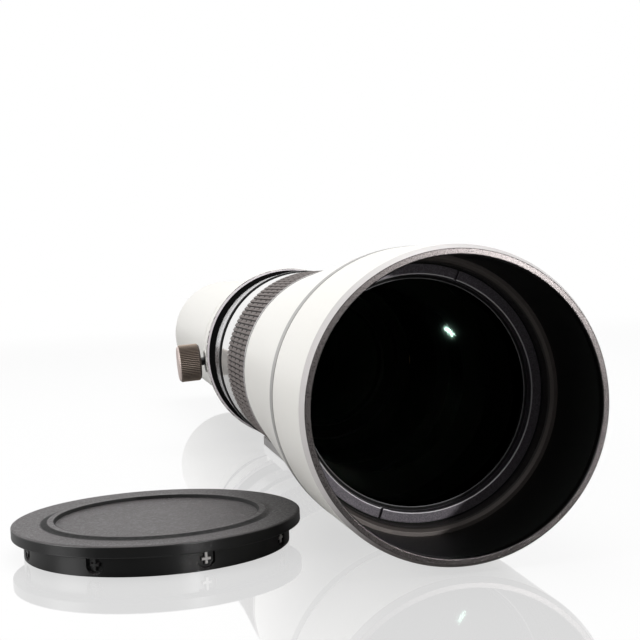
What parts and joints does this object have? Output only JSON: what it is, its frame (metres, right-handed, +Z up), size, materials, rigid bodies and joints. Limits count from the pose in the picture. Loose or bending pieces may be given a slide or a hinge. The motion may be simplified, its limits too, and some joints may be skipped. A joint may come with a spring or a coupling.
{
  "type": "camera lens",
  "caption": "Long white telephoto zoom lens with deep hood, rubber focusing grip, tripod collar with foot and clamp knob, and a loose black front cap.",
  "frame": {"origin": "centre of the rear mounting flange, on the optical axis, where the camera's mount seats", "axes": "+Y along the optical axis from the front glass to the camera, +Z up away from the tripod foot, +X to the right seen from the front with the clamp knob on the -X side"},
  "size_m": [0.2002, 0.637, 0.1077],
  "materials": {
    "white_enamel": "smooth satin white enamel paint",
    "white_gloss": "glossy white enamel paint",
    "black_anodised": "satin black anodised",
    "rim_grey": "fine speckled dark grey, slightly worn",
    "trim_grey": "satin grey anodised",
    "bright_ring": "polished clear anodised",
    "ring_grey": "dark grey anodised",
    "grip_rubber": "moulded matt rubber",
    "coated_glass": "polished, with an antireflection coating",
    "inner_brass": "machined",
    "pin_steel": "turned steel",
    "knob_taupe": "satin anodised with a fine straight knurl",
    "screw_black": "black oxide",
    "cap_plastic": "fine grained black moulding"
  },
  "bodies": {
    "barrel": {"hood_rim_ring": "rim_grey", "hood_shell": "white_enamel", "hood_lining": "black_anodised", "hood_trim_ring": "trim_grey", "filter_ring": "ring_grey", "front_cell": "black_anodised", "front_retaining_ring": "ring_grey", "crown_element": "coated_glass", "flint_element": "coated_glass", "front_barrel": "white_enamel", "light_baffle": "black_anodised", "main_barrel": "black_anodised", "scale_ring": "bright_ring", "flare_ring": "black_anodised", "collar_retainer": "white_enamel", "guide_tube": "black_anodised", "rear_barrel": "white_enamel", "aperture_stop": "black_anodised", "rear_cell": "black_anodised", "rear_element": "coated_glass", "rear_retaining_ring": "black_anodised", "rear_bezel": "white_enamel", "rear_mount": "bright_ring"},
    "focusing_ring": {"focus_cam_sleeve": "black_anodised", "focus_ring": "white_gloss", "focus_grip": "grip_rubber"},
    "focusing_cell": {"focus_cell": "black_anodised", "focus_element": "coated_glass", "focus_retaining_ring": "black_anodised", "focus_pins": "inner_brass"},
    "zoom_drive": {"cam_tube": "black_anodised", "zoom_ring": "black_anodised", "zoom_grip": "grip_rubber", "zoom_keys": "pin_steel"},
    "variator": {"variator_cell": "black_anodised", "variator_element": "coated_glass", "variator_pins": "inner_brass"},
    "compensator": {"compensator_cell": "black_anodised", "compensator_element": "coated_glass", "compensator_pins": "inner_brass"},
    "collar": {"tripod_collar": "white_enamel", "tripod_foot": "white_enamel", "foot_screws": "screw_black", "tripod_bush": "pin_steel"},
    "knob": {"clamp_knob": "knob_taupe", "clamp_screw": "screw_black"},
    "cap": {"front_cap": "cap_plastic"}
  },
  "joints": [
    {"name": "focus_turn", "type": "hinge", "parent": "barrel", "child": "focusing_ring", "pos_m": [0, -0.426, 0], "axis": [0, 1, 0], "range_deg": [-60, 60]},
    {"name": "focus_slide", "type": "slide", "parent": "barrel", "child": "focusing_cell", "axis": [0, 1, 0], "range_m": [-0.0101, 0.0101]},
    {"name": "zoom_turn", "type": "hinge", "parent": "barrel", "child": "zoom_drive", "pos_m": [0, -0.2612, 0], "axis": [0, 1, 0], "range_deg": [0, 80]},
    {"name": "variator_slide", "type": "slide", "parent": "barrel", "child": "variator", "axis": [0, 1, 0], "range_m": [0, 0.0451]},
    {"name": "compensator_slide", "type": "slide", "parent": "barrel", "child": "compensator", "axis": [0, 1, 0], "range_m": [-0.0181, 0]},
    {"name": "collar_turn", "type": "hinge", "parent": "barrel", "child": "collar", "pos_m": [0, -0.3002, 0], "axis": [0, 1, 0], "continuous": true},
    {"name": "clamp_knob_turn", "type": "hinge", "parent": "collar", "child": "knob", "pos_m": [0, -0.302, 0], "axis": [-0.9981, 0, -0.061], "range_deg": [0, 540]},
    {"name": "cap_slide", "type": "slide", "parent": "barrel", "child": "cap", "axis": [-1, 0, 0], "range_m": [0, 0.08]}
  ],
  "couplings": [
    {"joint": "focus_slide", "follows": "focus_turn", "m_per_rad": 0.0095493},
    {"joint": "variator_slide", "follows": "zoom_turn", "m_per_rad": 0.032229},
    {"joint": "compensator_slide", "follows": "zoom_turn", "m_per_rad": -0.012892}
  ]
}
